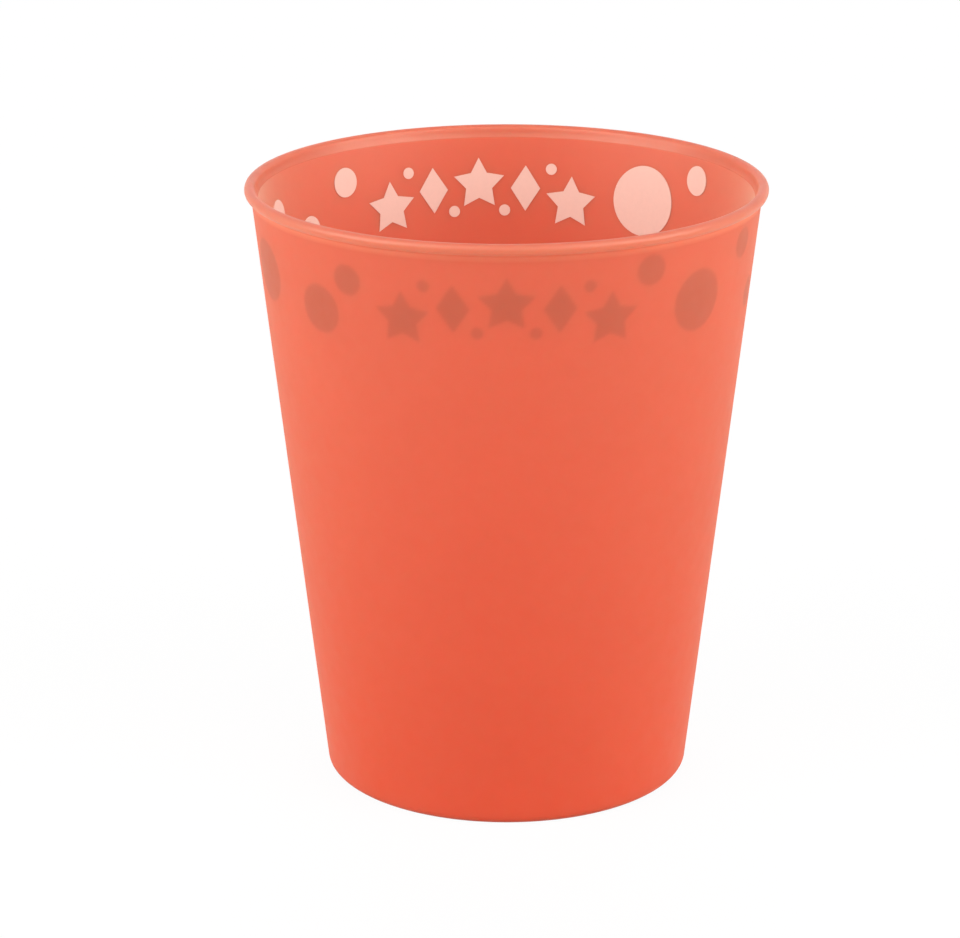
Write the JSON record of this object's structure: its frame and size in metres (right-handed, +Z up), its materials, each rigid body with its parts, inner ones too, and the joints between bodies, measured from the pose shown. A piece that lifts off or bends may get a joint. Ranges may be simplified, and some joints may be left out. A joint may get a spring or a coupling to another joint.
{
  "type": "reusable plastic cup",
  "caption": "Tapered drinking cup moulded in one piece from translucent plastic, with a beaded lip, a recessed foot and a confetti print inside the rim.",
  "frame": {"origin": "on the cup's axis, at the plane the foot stands on", "axes": "+Z up along the cup's axis, towards the lip; the middle of one row of printed stars faces -Y"},
  "size_m": [0.08, 0.08, 0.0945],
  "materials": {
    "coral_plastic": "satin translucent polypropylene, coral red, slightly lighter where light comes through the wall",
    "pale_ink": "thin matte ink, pale pink"
  },
  "bodies": {
    "root": {"cup": "coral_plastic", "printed_confetti": "pale_ink"}
  },
  "joints": []
}
